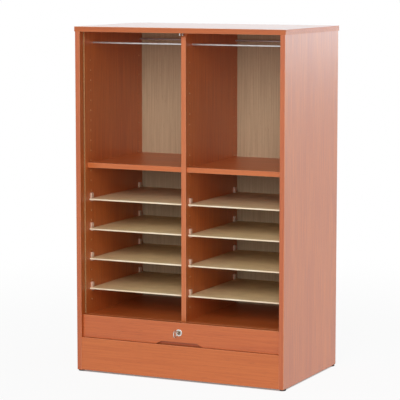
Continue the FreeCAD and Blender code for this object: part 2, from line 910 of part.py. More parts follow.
def cover_screws():
    screws = [screw_shank(x, z, False).fuse(screw_head(x, z, False)) for x, z in cover_screw_spots]
    return Part.makeCompound([screw.removeSplitter() for screw in screws])


def door_key():
    """Flat key standing in the keyway: blade, shank and a round bow with its ring hole."""
    face = lock_face - plug_proud
    blade_half = keyway_width / 2 - key_fit
    blade = block(
        -blade_half,
        blade_half,
        face,
        face + key_depth,
        lock_z - keyway_height / 2 + key_fit,
        lock_z + keyway_height / 2 - key_fit,
    )
    plate_half = key_bow_thickness / 2
    bow_y = key_tip + key_bow_diameter / 2
    shank = block(
        -plate_half,
        plate_half,
        bow_y,
        face,
        lock_z - key_shank_height / 2,
        lock_z + key_shank_height / 2,
    )
    middle = Vector(0, bow_y, lock_z)
    bow_corner = key_bow_diameter / 2 / math.cos(math.pi / lock_facets)
    bow = faceted_pin(middle, "x", bow_corner, key_bow_thickness, lock_facets)
    key = bow.fuse([shank, blade]).removeSplitter()
    return key.cut(faceted_pin(middle, "x", key_hole_diameter / 2, key_bow_thickness, round_facets))


os.makedirs("parts", exist_ok=True)

side = left_side()
save("left_side", side)
save("right_side", side.mirror(Vector(0, 0, 0), x_axis))
save("top_panel", top_panel())
save("bottom_panel", bottom_panel())
save("centre_divider", centre_divider())
save("plinth_board", plinth_board())
save("back_panel", back_panel())
for bay in bays:
    save(bay + "_fixed_shelf", fixed_shelf(bay))
    for number, top in enumerate(shelf_tops, 1):
        save(bay + "_shelf_" + str(number), thin_shelf_board(bay, top))
    save(bay + "_shelf_clips", bay_clips(bay))
    for row in rod_rows:
        save(bay + "_" + row + "_rod", hanging_rod(bay, row))
save("foot_glides", foot_glides())
save("joint_dowels", Part.makeCompound(dowels))
save("back_screws", Part.makeCompound([back_screw(x, z, False) for x, z in back_screw_spots()]))
save("strike_staple", strike_staple())
for name, slats in curtain().items():
    save(name, Part.makeCompound(slats))
save("lead_rail", lead_rail())
save("lock_barrel", lock_barrel())
save("lock_plug", lock_plug())
save("hook_bolt", hook_bolt())
save("hook_screw", hook_screw())
save("lock_cover", lock_cover())
save("cover_screws", cover_screws())
save("door_key", door_key())
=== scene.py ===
import json
import math
import bpy
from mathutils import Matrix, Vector


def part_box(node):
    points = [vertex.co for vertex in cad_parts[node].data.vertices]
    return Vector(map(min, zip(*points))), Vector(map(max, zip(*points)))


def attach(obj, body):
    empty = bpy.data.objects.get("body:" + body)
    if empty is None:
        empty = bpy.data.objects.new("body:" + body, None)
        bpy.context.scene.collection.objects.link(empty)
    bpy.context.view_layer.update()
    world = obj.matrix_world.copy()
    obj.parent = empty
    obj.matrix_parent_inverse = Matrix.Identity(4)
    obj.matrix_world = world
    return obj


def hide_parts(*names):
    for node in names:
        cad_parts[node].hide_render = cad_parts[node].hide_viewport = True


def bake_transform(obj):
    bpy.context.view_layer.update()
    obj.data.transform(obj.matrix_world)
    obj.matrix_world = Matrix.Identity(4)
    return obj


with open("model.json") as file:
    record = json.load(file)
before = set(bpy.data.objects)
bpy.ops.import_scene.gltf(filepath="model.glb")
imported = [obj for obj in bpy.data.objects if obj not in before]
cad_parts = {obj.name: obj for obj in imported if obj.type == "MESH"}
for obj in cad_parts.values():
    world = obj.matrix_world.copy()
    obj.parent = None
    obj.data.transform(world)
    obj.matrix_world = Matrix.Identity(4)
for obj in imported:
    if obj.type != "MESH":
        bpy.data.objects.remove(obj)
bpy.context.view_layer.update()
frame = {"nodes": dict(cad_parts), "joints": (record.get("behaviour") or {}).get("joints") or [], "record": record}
cadNodes = frame["nodes"]
slideTravel = frame["joints"][0]["range_m"][1]
print("frame loaded:", len(cadNodes), "nodes")


# selecting and shaping, used by every piece
meshRules = {
    "mergeGap": 1e-6,
    "samePlace": 1e-5,
    "smoothAngle": 35,
    "towards": 0.9,  # least share of a normal along an axis for a face that looks that way
    "square": 0.99,  # the same for a face that looks exactly that way
}


def clearSelection():
    if bpy.context.object and bpy.context.object.mode != "OBJECT":
        bpy.ops.object.mode_set(mode="OBJECT")
    bpy.ops.object.select_all(action="DESELECT")


def makeActive(piece):
    clearSelection()
    piece.select_set(True)
    bpy.context.view_layer.objects.active = piece


def freshPiece(name):
    piece = bpy.context.object
    piece.name = name
    bpy.ops.object.transform_apply(location=True, rotation=True, scale=True)
    return piece


def addBlock(name, low, high):
    clearSelection()
    bpy.ops.mesh.primitive_cube_add(size=1, location=(low + high) / 2, scale=high - low)
    return freshPiece(name)


rodTurns = {"x": (0, math.pi / 2, 0), "y": (math.pi / 2, 0, 0), "z": (0, 0, 0)}


def addRod(name, middle, axis, radius, length, sides):
    clearSelection()
    bpy.ops.mesh.primitive_cylinder_add(
        vertices=sides, radius=radius, depth=length, location=middle, rotation=rodTurns[axis]
    )
    return freshPiece(name)


def pickFaces(piece, test):
    bpy.ops.object.mode_set(mode="OBJECT")
    bpy.context.tool_settings.mesh_select_mode = (False, False, True)
    for part in (piece.data.vertices, piece.data.edges):
        part.foreach_set("select", [False] * len(part))
    for face in piece.data.polygons:
        face.select = test(face.center, face.normal)
    bpy.ops.object.mode_set(mode="EDIT")


def pickEdges(piece, test):
    bpy.ops.object.mode_set(mode="OBJECT")
    bpy.context.tool_settings.mesh_select_mode = (False, True, False)
    points = [v.co for v in piece.data.vertices]
    for part in (piece.data.vertices, piece.data.polygons):
        part.foreach_set("select", [False] * len(part))
    for edge in piece.data.edges:
        edge.select = test(points[edge.vertices[0]], points[edge.vertices[1]])
    bpy.ops.object.mode_set(mode="EDIT")


def pickAll():
    bpy.ops.object.mode_set(mode="EDIT")
    bpy.ops.mesh.select_all(action="SELECT")


def closeUp():  # merge doubles, then turn every face outwards
    pickAll()
    bpy.ops.mesh.remove_doubles(threshold=meshRules["mergeGap"])
    bpy.ops.mesh.normals_make_consistent(inside=False)
    bpy.ops.object.mode_set(mode="OBJECT")


def push(x, y, z):
    bpy.ops.mesh.extrude_region_move(TRANSFORM_OT_translate={"value": (x, y, z)})


def near(value, target):
    return abs(value - target) < meshRules["samePlace"]


def softenEdges(piece, width, segments, angle=meshRules["smoothAngle"]):
    bpy.ops.object.mode_set(mode="OBJECT")
    rounding = piece.modifiers.new("rounding", "BEVEL")
    rounding.width = width
    rounding.segments = segments
    rounding.limit_method = "ANGLE"
    rounding.angle_limit = math.radians(angle)
    bpy.context.view_layer.objects.active = piece
    bpy.ops.object.modifier_apply(modifier=rounding.name)


def cutAway(piece, cutter):  # faces that the cutter leaves keep the cutter's finish
    makeActive(piece)
    cutting = piece.modifiers.new("cutting", "BOOLEAN")
    cutting.operation = "DIFFERENCE"
    cutting.solver = "EXACT"
    cutting.material_mode = "TRANSFER"
    cutting.object = cutter
    bpy.ops.object.modifier_apply(modifier=cutting.name)
    bpy.data.objects.remove(cutter)


def copyTo(piece, shift, mirror=False):
    makeActive(piece)
    bpy.ops.object.duplicate(linked=False)
    copied = bpy.context.object
    copied.location = shift
    if mirror:
        copied.scale.x = -1
    bpy.ops.object.transform_apply(location=True, rotation=True, scale=True)
    if mirror:
        closeUp()
    return copied


def joinAll(name, parts):
    clearSelection()
    for part in parts:
        part.select_set(True)
    bpy.context.view_layer.objects.active = parts[0]
    bpy.ops.object.join()
    joined = bpy.context.object
    joined.name = name
    return joined


def seat(piece, body, *nodeNames):
    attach(piece, body)
    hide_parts(*nodeNames)


# node building, used by every finish
axisX, axisY, axisZ = range(3)


def rgb(red, green, blue):  # screen values, 0 to 255, turned linear by the sRGB curve
    parts = []
    for value in (red, green, blue):
        share = value / 255
        parts.append(share / 12.92 if share <= 0.04045 else ((share + 0.055) / 1.055) ** 2.4)
    return (*parts, 1.0)


def startFinish(name):
    finish = bpy.data.materials.new(name)
    finish.use_nodes = True
    tree = finish.node_tree
    place = tree.nodes.new("ShaderNodeTexCoord").outputs["Object"]
    return finish, tree, tree.nodes["Principled BSDF"], place


def speckle(tree, place, pattern):  # noise: spots per metre along each axis, detail and roughness
    scale, detail, roughness = pattern
    squeeze = tree.nodes.new("ShaderNodeMapping")
    squeeze.inputs["Scale"].default_value = scale
    noise = tree.nodes.new("ShaderNodeTexNoise")
    noise.inputs["Scale"].default_value = 1.0
    noise.inputs["Detail"].default_value = detail
    noise.inputs["Roughness"].default_value = roughness
    tree.links.new(place, squeeze.inputs["Vector"])
    tree.links.new(squeeze.outputs["Vector"], noise.inputs["Vector"])
    return noise.outputs["Fac"]


def plug(tree, socket, value):
    if isinstance(value, (int, float, tuple)):
        socket.default_value = value
    else:
        tree.links.new(value, socket)


def calc(tree, operation, first, second=0.0, third=0.0):
    node = tree.nodes.new("ShaderNodeMath")
    node.operation = operation
    for socket, value in zip(node.inputs, (first, second, third)):
        plug(tree, socket, value)
    return node.outputs[0]


def remap(tree, value, fromLow, fromHigh, toLow=0.0, toHigh=1.0):
    node = tree.nodes.new("ShaderNodeMapRange")
    node.interpolation_type = "SMOOTHSTEP"
    ends = {"From Min": fromLow, "From Max": fromHigh, "To Min": toLow, "To Max": toHigh}
    for name, number in ends.items():
        node.inputs[name].default_value = number
    tree.links.new(value, node.inputs["Value"])
    return node.outputs["Result"]


def tint(tree, share, first, second):
    node = tree.nodes.new("ShaderNodeMix")
    node.data_type = "RGBA"
    colours = [socket for socket in node.inputs if socket.type == "RGBA"]
    plug(tree, node.inputs["Factor"], share)
    plug(tree, colours[0], first)
    plug(tree, colours[1], second)
    return [socket for socket in node.outputs if socket.type == "RGBA"][0]


def bumpBy(tree, shader, height, depth):
    bump = tree.nodes.new("ShaderNodeBump")
    bump.inputs["Strength"].default_value = 1.0
    bump.inputs["Distance"].default_value = depth
    tree.links.new(height, bump.inputs["Height"])
    tree.links.new(bump.outputs["Normal"], shader.inputs["Normal"])


def axisOf(tree, vector, axis):
    node = tree.nodes.new("ShaderNodeSeparateXYZ")
    tree.links.new(vector, node.inputs[0])
    return node.outputs[axis]


def facing(tree, axis):  # share of the surface normal along one axis
    surface = tree.nodes.new("ShaderNodeNewGeometry")
    return axisOf(tree, surface.outputs["Normal"], axis)


noiseBand = (0.3, 0.7)  # most values of a noise lie between these


# cherry melamine for the carcass boards and the rail
cherryLook = {
    "light": rgb(205, 112, 52),
    "dark": rgb(182, 85, 29),
    "pore": rgb(134, 58, 20),
    "edge": rgb(203, 107, 46),
    "arrisHighlight": rgb(236, 168, 124),  # painted highlight on the arris beside the edge band
    "streaks": (260, 5, 5.0, 0.6),  # per metre across and along the grain, detail and roughness
    "pores": (850, 26, 2.0, 0.5),
    "clouds": (18, 2.2, 3.0, 0.5),
    "cloudShare": 0.3,
    "contrast": (0.32, 0.68),
    "edgeTurn": (-0.95, -0.85),  # the normal's share along y, where the edge band ends
    "edgeShare": 0.55,
    "arrisStart": (-0.92, -0.8),
    "arrisEnd": (-0.6, -0.5),
    "highlightBand": (0.3, 0.6),
    "highlightShare": (0.3, 0.5),
    "poreBand": (0.60, 0.72),
    "poreShare": 0.45,
    "roughness": (0.38, 0.48),
    "coat": 0.4,
    "coatRoughness": 0.34,
    "poreDepth": 0.00010,
}


def grainNoise(tree, place, grainAxis, pattern):
    across, along, detail, roughness = pattern
    scale = tuple(along if axis == grainAxis else across for axis in (axisX, axisY, axisZ))
    return speckle(tree, place, (scale, detail, roughness))


def cherryBase(name, grainAxis, edge=cherryLook["edge"]):
    look = cherryLook
    finish, tree, shader, place = startFinish(name)
    streaks = grainNoise(tree, place, grainAxis, look["streaks"])
    pores = grainNoise(tree, place, grainAxis, look["pores"])
    clouds = grainNoise(tree, place, grainAxis, look["clouds"])
    share = look["cloudShare"]
    figure = calc(tree, "ADD", streaks, calc(tree, "MULTIPLY_ADD", clouds, share, -share / 2))
    colour = tint(tree, remap(tree, figure, *look["contrast"]), look["dark"], look["light"])
    front = facing(tree, axisY)
    colour = tint(tree, remap(tree, front, *look["edgeTurn"], look["edgeShare"], 0.0), colour, edge)
    pastEdge = remap(tree, front, *look["arrisStart"])
    arris = calc(tree, "MULTIPLY", pastEdge, remap(tree, front, *look["arrisEnd"], 1.0, 0.0))
    # painted highlight: a paler colour in patches along the rounded arris of the front edges
    paintedHighlight = calc(tree, "MULTIPLY", arris, remap(tree, clouds, *look["highlightBand"], *look["highlightShare"]))
    colour = tint(tree, paintedHighlight, colour, look["arrisHighlight"])
    poreMask = remap(tree, pores, *look["poreBand"], 0.0, look["poreShare"])
    colour = tint(tree, poreMask, colour, look["pore"])
    tree.links.new(remap(tree, streaks, *noiseBand, *look["roughness"]), shader.inputs["Roughness"])
    shader.inputs["Coat Weight"].default_value = look["coat"]
    shader.inputs["Coat Roughness"].default_value = look["coatRoughness"]
    bumpBy(tree, shader, calc(tree, "SUBTRACT", streaks, poreMask), look["poreDepth"])
    return finish, tree, shader, place, colour


def cherryFinish(name, grainAxis):
    finish, tree, shader, place, colour = cherryBase(name, grainAxis)
    tree.links.new(colour, shader.inputs["Base Color"])
    return finish


# the top panel has a glossy upper face, and a duller edge band painted darker, as painted shade
topLook = {
    # painted shade: the top's edge band is darker than on the other boards
    "edge": rgb(176, 86, 30),
    "coat": 1.0,
    "edgeCoat": 0.3,
    "coatTurn": (0.5, 0.9),  # the normal's share along z, where the gloss sets in
    "coatRoughness": 0.3,
}


def topFinish(name):
    look = topLook
    finish, tree, shader, place, colour = cherryBase(name, axisX, look["edge"])
    tree.links.new(colour, shader.inputs["Base Color"])
    gloss = remap(tree, facing(tree, axisZ), *look["coatTurn"], look["edgeCoat"], look["coat"])
    tree.links.new(gloss, shader.inputs["Coat Weight"])
    shader.inputs["Coat Roughness"].default_value = look["coatRoughness"]
    return finish


def within(tree, limits):  # 1 where every value lies between its two ends
    inside = 1.0
    for value, low, high in limits:
        above = calc(tree, "GREATER_THAN", value, low)
        below = calc(tree, "LESS_THAN", value, high)
        inside = calc(tree, "MULTIPLY", inside, calc(tree, "MULTIPLY", above, below))
    return inside


# the rail's finger recess is painted darker inside, as painted shade
recessLook = {
    "front": rgb(198, 99, 47),
    "recessShade": rgb(167, 79, 36),
    "halfWidth": 0.081,
    "height": 0.0104,
    "depth": 0.0095,
    "margin": 0.0003,
    "lowest": -1,  # below every place on the rail
}


def railFinish(name):
    look = recessLook
    finish, tree, shader, place, colour = cherryBase(name, axisX, look["front"])
    low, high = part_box("lead_rail")
    x, y, z = (axisOf(tree, place, axis) for axis in (axisX, axisY, axisZ))
    limits = (
        (calc(tree, "ABSOLUTE", x), look["lowest"], look["halfWidth"]),
        (y, low.y + look["margin"], low.y + look["depth"]),
        (z, look["lowest"], low.z + look["height"]),
    )
    # painted shade inside the finger recess
    colour = tint(tree, within(tree, limits), colour, look["recessShade"])
    tree.links.new(colour, shader.inputs["Base Color"])
    return finish


# raw chipboard inside the guide groove and the shelf holes
rawLook = {
    "chip": rgb(192, 142, 94),
    "chipPale": rgb(220, 176, 126),
    "chips": ((420, 420, 260), 3.0, 0.7),
    "contrast": (0.35, 0.65),
    "roughness": (0.6, 0.8),
    "chipDepth": 0.0002,
}


def chipColour(tree, place):
    look = rawLook
    chips = speckle(tree, place, look["chips"])
    return chips, tint(tree, remap(tree, chips, *look["contrast"]), look["chip"], look["chipPale"])


def rawFinish(name):
    finish, tree, shader, place = startFinish(name)
    chips, colour = chipColour(tree, place)
    tree.links.new(colour, shader.inputs["Base Color"])
    tree.links.new(remap(tree, chips, *noiseBand, *rawLook["roughness"]), shader.inputs["Roughness"])
    bumpBy(tree, shader, chips, rawLook["chipDepth"])
    return finish


# the uprights are glossier than the other boards, raw in the groove, and the sides' edge bands are painted darker,
# as painted shade
uprightLook = {
    "coat": 0.75,
    "shadedSideEdge": rgb(182, 82, 28),
    "grooveDepth": 0.006,
    "grooveMargin": 0.004,  # how much wider than a slat the raw band is, on either side
    "faceMargin": 0.0002,
}


def uprightFinish(name, edge):
    look = uprightLook
    finish, tree, shader, place, colour = cherryBase(name, axisZ, edge)
    x = calc(tree, "ABSOLUTE", axisOf(tree, place, axisX))
    y = axisOf(tree, place, axisY)
    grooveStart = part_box("right_side")[0].x + look["faceMargin"]
    slatLow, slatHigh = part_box("lead_slat")
    limits = (
        (x, grooveStart, grooveStart + look["grooveDepth"]),
        (y, slatLow.y - look["grooveMargin"], slatHigh.y + look["grooveMargin"]),
    )
    colour = tint(tree, within(tree, limits), colour, chipColour(tree, place)[1])
    shader.inputs["Coat Weight"].default_value = look["coat"]
    tree.links.new(colour, shader.inputs["Base Color"])
    return finish


# hardboard for the back
backLook = {
    "board": (rgb(173, 148, 117), rgb(190, 165, 132)),
    "fleck": rgb(120, 94, 62),
    "lines": ((260, 260, 5), 4.0, 0.6),
    "contrast": (0.32, 0.68),
    "flecks": ((700, 700, 60), 2.0, 0.5),
    "fleckBand": (0.64, 0.76),
    "fleckShare": 0.35,
    "roughness": (0.5, 0.66),
    "lineDepth": 0.00010,
}


def backFinish(name):
    look = backLook
    finish, tree, shader, place = startFinish(name)
    lines = speckle(tree, place, look["lines"])
    flecks = speckle(tree, place, look["flecks"])
    colour = tint(tree, remap(tree, lines, *look["contrast"]), *look["board"])
    fleckMask = remap(tree, flecks, *look["fleckBand"], 0.0, look["fleckShare"])
    colour = tint(tree, fleckMask, colour, look["fleck"])
    tree.links.new(colour, shader.inputs["Base Color"])
    tree.links.new(remap(tree, flecks, *noiseBand, *look["roughness"]), shader.inputs["Roughness"])
    bumpBy(tree, shader, lines, look["lineDepth"])
    return finish


# hardboard for the loose shelves, with a pale nose
shelfBoardLook = {
    "board": (rgb(222, 198, 151), rgb(243, 221, 177)),
    "nose": (rgb(246, 227, 194), rgb(254, 243, 217)),
    "fleck": rgb(120, 94, 62),
    "fibres": ((520, 640, 520), 5.0, 0.65),
    "clouds": ((18, 26, 18), 3.0, 0.5),
    "fibreShare": 0.6,  # the rest of the mottle is clouds
    "contrast": (0.36, 0.64),
    "flecks": ((1100, 1100, 1100), 1.0, 0.5),
    "fleckBand": (0.66, 0.78),
    "fleckShare": 0.4,
    "noseTurn": (-0.6, -0.25),  # the normal's share along y, where the nose ends
    "roughness": (0.42, 0.6),
    "fibreDepth": 0.00010,
}


def shelfFinish(name):
    look = shelfBoardLook
    finish, tree, shader, place = startFinish(name)
    fibres = speckle(tree, place, look["fibres"])
    clouds = speckle(tree, place, look["clouds"])
    flecks = speckle(tree, place, look["flecks"])
    share = look["fibreShare"]
    mottle = calc(tree, "MULTIPLY_ADD", fibres, share, calc(tree, "MULTIPLY", clouds, 1 - share))
    colour = tint(tree, remap(tree, mottle, *look["contrast"]), *look["board"])
    fleckMask = remap(tree, flecks, *look["fleckBand"], 0.0, look["fleckShare"])
    colour = tint(tree, fleckMask, colour, look["fleck"])
    nose = tint(tree, remap(tree, clouds, *noiseBand), *look["nose"])
    colour = tint(tree, remap(tree, facing(tree, axisY), *look["noseTurn"], 1.0, 0.0), colour, nose)
    tree.links.new(colour, shader.inputs["Base Color"])
    tree.links.new(remap(tree, fibres, *noiseBand, *look["roughness"]), shader.inputs["Roughness"])
    bumpBy(tree, shader, fibres, look["fibreDepth"])
    return finish


# metals, plastics and dowel wood: two shades, a range of roughness, spots per metre and relief
solidLook = {
    "rodChrome": (rgb(198, 201, 200), rgb(222, 225, 224), (0.54, 0.66), (60, 240, 240), 0.00002),
    "lockChrome": (rgb(218, 217, 214), rgb(240, 239, 236), (0.10, 0.24), (400, 120, 400), 0.00002),
    "zincSteel": (rgb(160, 160, 158), rgb(196, 196, 192), (0.28, 0.46), (300, 300, 300), 0.00003),
    "keyNickel": (rgb(196, 193, 186), rgb(222, 219, 212), (0.34, 0.48), (500, 90, 500), 0.00003),
    "clipPlastic": (rgb(206, 170, 146), rgb(228, 194, 170), (0.28, 0.42), (600, 600, 600), 0.00004),
    "glidePlastic": (rgb(22, 21, 20), rgb(36, 35, 34), (0.45, 0.62), (900, 900, 900), 0.00006),
    "slatCherry": (rgb(178, 84, 36), rgb(202, 104, 48), (0.38, 0.48), (6, 320, 9000), 0.00004),
    # a duller metal for the plug and its collar, painted darker as painted shade for the dark middle of the lock
    "plugShadeSteel": (rgb(138, 126, 110), rgb(166, 153, 136), (0.34, 0.50), (400, 120, 400), 0.00002),
    # painted shade: near black for the walls of the keyway
    "keywayShade": (rgb(14, 12, 11), rgb(26, 23, 21), (0.60, 0.80), (600, 600, 600), 0.00003),
    "dowelBeech": (rgb(196, 152, 104), rgb(222, 184, 138), (0.55, 0.70), (700, 700, 700), 0.00010),
}
solidNoise = (4.0, 0.6)  # detail and roughness
clipGlow = {"weight": 0.15, "depth": 0.003}  # light that spreads inside the clip plastic


def solidFinish(name, metal=False):
    dark, light, roughness, spots, depth = solidLook[name]
    finish, tree, shader, place = startFinish(name)
    grain = speckle(tree, place, (spots, *solidNoise))
    tree.links.new(tint(tree, remap(tree, grain, *noiseBand), dark, light), shader.inputs["Base Color"])
    tree.links.new(remap(tree, grain, *noiseBand, *roughness), shader.inputs["Roughness"])
    shader.inputs["Metallic"].default_value = 1.0 if metal else 0.0
    bumpBy(tree, shader, grain, depth)
    return finish


def clipFinish(name):
    finish = solidFinish(name)
    shader = finish.node_tree.nodes["Principled BSDF"]
    shader.inputs["Subsurface Weight"].default_value = clipGlow["weight"]
    shader.inputs["Subsurface Scale"].default_value = clipGlow["depth"]
    return finish


# the sides' edge bands are painted darker, as painted shade
sideCherry = uprightFinish("cherryUpright", uprightLook["shadedSideEdge"])
dividerCherry = uprightFinish("cherryDivider", cherryLook["edge"])
rawBoard = rawFinish("rawChipboard")
plugShadeSteel = solidFinish("plugShadeSteel", True)
keywayShade = solidFinish("keywayShade")
finishBySlot = {
    "cherry_board": cherryFinish("cherryLevel", axisX),
    "back_board": backFinish("backHardboard"),
    "thin_shelf": shelfFinish("shelfHardboard"),
    "clip_plastic": clipFinish("clipPlastic"),
    "rod_chrome": solidFinish("rodChrome", True),
    "slat_plastic": solidFinish("slatCherry"),
    "glide_plastic": solidFinish("glidePlastic"),
    "dowel_wood": solidFinish("dowelBeech"),
    "plain_steel": solidFinish("zincSteel", True),
    "lock_chrome": solidFinish("lockChrome", True),
    "key_metal": solidFinish("keyNickel", True),
}


def paint(node, finish):
    node.data.materials.clear()
    node.data.materials.append(finish)


finishByNode = {
    "left_side": sideCherry,
    "right_side": sideCherry,
    "centre_divider": dividerCherry,
    "lead_rail": railFinish("cherryRail"),
    "top_panel": topFinish("cherryTop"),
}
for row in frame["record"]["subparts"]:
    paint(cadNodes[row["node"]], finishByNode.get(row["node"], finishBySlot[row["material_slot"]]))


def finishPiece(piece, slotName, smoothAngle=meshRules["smoothAngle"]):
    makeActive(piece)
    bpy.ops.object.shade_smooth_by_angle(angle=math.radians(smoothAngle))
    if not piece.data.materials:
        piece.data.materials.append(finishBySlot[slotName])


# where the shelf clips stand: their two rows, the walls of each bay and the shelves
clipLook = {
    "width": 0.012,
    "ledge": 0.008,
    "ledgeThickness": 0.004,
    "plate": 0.0012,
    "tab": 0.006,
    "tabHeight": 0.017,
    "seatGap": 0.0003,
    "noseCut": 0.003,
    "noseSteps": 3,
    "panelInset": 0.0018,
    "panelDepth": 0.0008,
    "ease": 0.0005,
    "easeSteps": 2,
}
shelfNumbers = range(1, 5)
clipLow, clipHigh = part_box("left_shelf_clips")
clipRows = (clipLow.y + clipLook["width"] / 2, clipHigh.y - clipLook["width"] / 2)
dividerLow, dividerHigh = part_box("centre_divider")
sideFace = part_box("right_side")[0].x
bayWalls = {"left": (-sideFace, dividerLow.x), "right": (dividerHigh.x, sideFace)}


# sides and divider: the boards with their rows of shelf holes drilled
drillLook = {
    "pitch": 0.032,
    "radius": 0.0025,
    "depth": 0.007,
    "sides": 12,
    "rise": 0.03,  # the lowest hole is at least this far above the bottom board
    "drop": 0.075,  # and the highest this far below the top panel
}


def holeHeights():  # every step of the row that no clip uses
    pitch = drillLook["pitch"]
    used = [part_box(f"left_shelf_{n}")[0].z - clipLook["ledgeThickness"] / 2 for n in shelfNumbers]
    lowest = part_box("bottom_panel")[1].z + drillLook["rise"]
    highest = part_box("top_panel")[0].z - drillLook["drop"]
    first = used[-1] - pitch * int((used[-1] - lowest) / pitch)
    count = int((highest - first) / pitch) + 1
    heights = [first + pitch * step for step in range(count)]
    return [z for z in heights if min(abs(z - u) for u in used) > drillLook["radius"]]


def drilledBoard(nodeName, pieceName, faces):
    look = drillLook
    board = bpy.data.objects.new(pieceName, cadNodes[nodeName].data.copy())
    bpy.context.scene.collection.objects.link(board)
    makeActive(board)
    bpy.ops.mesh.customdata_custom_splitnormals_clear()
    closeUp()
    length = 2 * look["depth"]
    master = addRod("drillMaster", Vector((0, 0, 0)), "x", look["radius"], length, look["sides"])
    paint(master, rawBoard)
    spots = [Vector((x, y, z)) for x in faces for y in clipRows for z in holeHeights()]
    drills = joinAll("drills", [copyTo(master, spot) for spot in spots])
    bpy.data.objects.remove(master)
    cutAway(board, drills)
    closeUp()
    finishPiece(board, "cherry_board")
    seat(board, "cabinet", nodeName)


drilledBoard("left_side", "leftUpright", (-sideFace,))
drilledBoard("right_side", "rightUpright", (sideFace,))
drilledBoard("centre_divider", "middleUpright", (dividerLow.x, dividerHigh.x))
print("uprights drilled")


# hanging rods with rounded ends
rodLook = {"sides": 40, "endBevel": 0.0006, "endSteps": 2}


def hangingRod(nodeName, pieceName):
    look = rodLook
    low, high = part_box(nodeName)
    radius = (high.z - low.z) / 2
    rod = addRod(pieceName, (low + high) / 2, "x", radius, high.x - low.x, look["sides"])
    pickEdges(rod, lambda a, b: near(a.x, b.x))
    bpy.ops.mesh.bevel(offset=look["endBevel"], segments=look["endSteps"], affect="EDGES")
    closeUp()
    finishPiece(rod, "rod_chrome")
    seat(rod, "cabinet", nodeName)


for bay in bayWalls:
    for end in ("front", "rear"):
        hangingRod(f"{bay}_{end}_rod", f"{bay}{end.capitalize()}HangingRod")
print("rods made")


# loose shelves with a rounded pale nose
shelfLook = {"noseRadius": 0.0019, "noseSteps": 4, "ease": 0.0004, "easeSteps": 2, "easeAngle": 60}


def looseShelf(nodeName, pieceName):
    look = shelfLook
    low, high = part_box(nodeName)
    shelf = addBlock(pieceName, low, high)
    pickEdges(shelf, lambda a, b: near(a.y, low.y) and near(b.y, low.y) and near(a.z, b.z))
    bpy.ops.mesh.bevel(offset=look["noseRadius"], segments=look["noseSteps"], affect="EDGES")
    softenEdges(shelf, look["ease"], look["easeSteps"], look["easeAngle"])
    finishPiece(shelf, "thin_shelf")
    seat(shelf, "cabinet", nodeName)


for bay in bayWalls:
    for number in shelfNumbers:
        looseShelf(f"{bay}_shelf_{number}", f"{bay}LooseShelf{number}")
print("loose shelves made")


# shelf clips: one is modelled on the left wall of a bay and copied
def clipMaster(shelfThickness):
    look = clipLook
    half = look["width"] / 2
    over = shelfThickness + look["seatGap"]
    top = over + look["tabHeight"]
    tab = look["tab"]
    towards = meshRules["towards"]
    low = Vector((0, -half, -look["ledgeThickness"]))
    clip = addBlock("clipMaster", low, Vector((look["plate"], half, top)))
    for height in (0, over):
        pickAll()
        bpy.ops.mesh.bisect(plane_co=(0, 0, height), plane_no=(0, 0, 1))
    pickFaces(clip, lambda c, n: n.x > towards and c.z < 0)
    push(look["ledge"] - look["plate"], 0, 0)
    pickFaces(clip, lambda c, n: n.x > towards and c.z > over)
    push(tab - look["plate"], 0, 0)
    pickEdges(clip, lambda a, b: all(near(p.z, top) and near(p.x, tab) for p in (a, b)))
    bpy.ops.mesh.bevel(offset=look["noseCut"], segments=look["noseSteps"], affect="EDGES")
    pickFaces(clip, lambda c, n: n.x > towards and c.z > over)  # a shallow panel in the tab's face
    bpy.ops.mesh.inset(thickness=look["panelInset"], depth=-look["panelDepth"])
    softenEdges(clip, look["ease"], look["easeSteps"])
    closeUp()
    return clip


def clipSet(bay):
    shelves = [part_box(f"{bay}_shelf_{number}") for number in shelfNumbers]
    master = clipMaster(shelves[0][1].z - shelves[0][0].z)
    parts = []
    for low, high in shelves:
        for y in clipRows:
            for x, mirror in zip(bayWalls[bay], (False, True)):
                parts.append(copyTo(master, Vector((x, y, low.z)), mirror))
    bpy.data.objects.remove(master)
    clips = joinAll(f"{bay}ShelfClips", parts)
    finishPiece(clips, "clip_plastic")
    seat(clips, "cabinet", f"{bay}_shelf_clips")


for bay in bayWalls:
    clipSet(bay)
print("shelf clips made")


# foot glides with a rounded rim and a shallow hollow underneath
glideLook = {
    "diameter": 0.020,
    "height": 0.005,
    "sides": 40,
    "rim": 0.0012,
    "rimSteps": 4,
    "inset": 0.003,
    "hollow": 0.0006,
}


def footGlides():
    look = glideLook
    low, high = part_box("foot_glides")
    radius = look["diameter"] / 2
    middle = Vector((0, 0, look["height"] / 2))
    master = addRod("glideMaster", middle, "z", radius, look["height"], look["sides"])
    pickEdges(master, lambda a, b: near(a.z, 0) and near(b.z, 0))
    bpy.ops.mesh.bevel(offset=look["rim"], segments=look["rimSteps"], affect="EDGES")
    pickFaces(master, lambda c, n: n.z < -meshRules["square"])
    bpy.ops.mesh.inset(thickness=look["inset"], depth=0)
    bpy.ops.mesh.inset(thickness=look["rim"] / 2, depth=-look["hollow"])
    bpy.ops.object.mode_set(mode="OBJECT")
    sideLow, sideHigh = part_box("right_side")
    x = (sideLow.x + sideHigh.x) / 2
    rows = (low.y + radius, high.y - radius)
    parts = [copyTo(master, Vector((side * x, y, 0))) for side in (-1, 1) for y in rows]
    bpy.data.objects.remove(master)
    glides = joinAll("footGlideSet", parts)
    finishPiece(glides, "glide_plastic")
    seat(glides, "cabinet", "foot_glides")


footGlides()
print("glides made")


# screws in the back panel: domed heads with a cross recess
screwLook = {
    "head": 0.007,
    "rise": 0.002,
    "dome": 0.0014,
    "domeSteps": 4,
    "slotWidth": 0.0011,
    "slotLength": 0.0042,
    "slotDepth": 0.0012,
    "sides": 32,
    "perSide": 4,
}


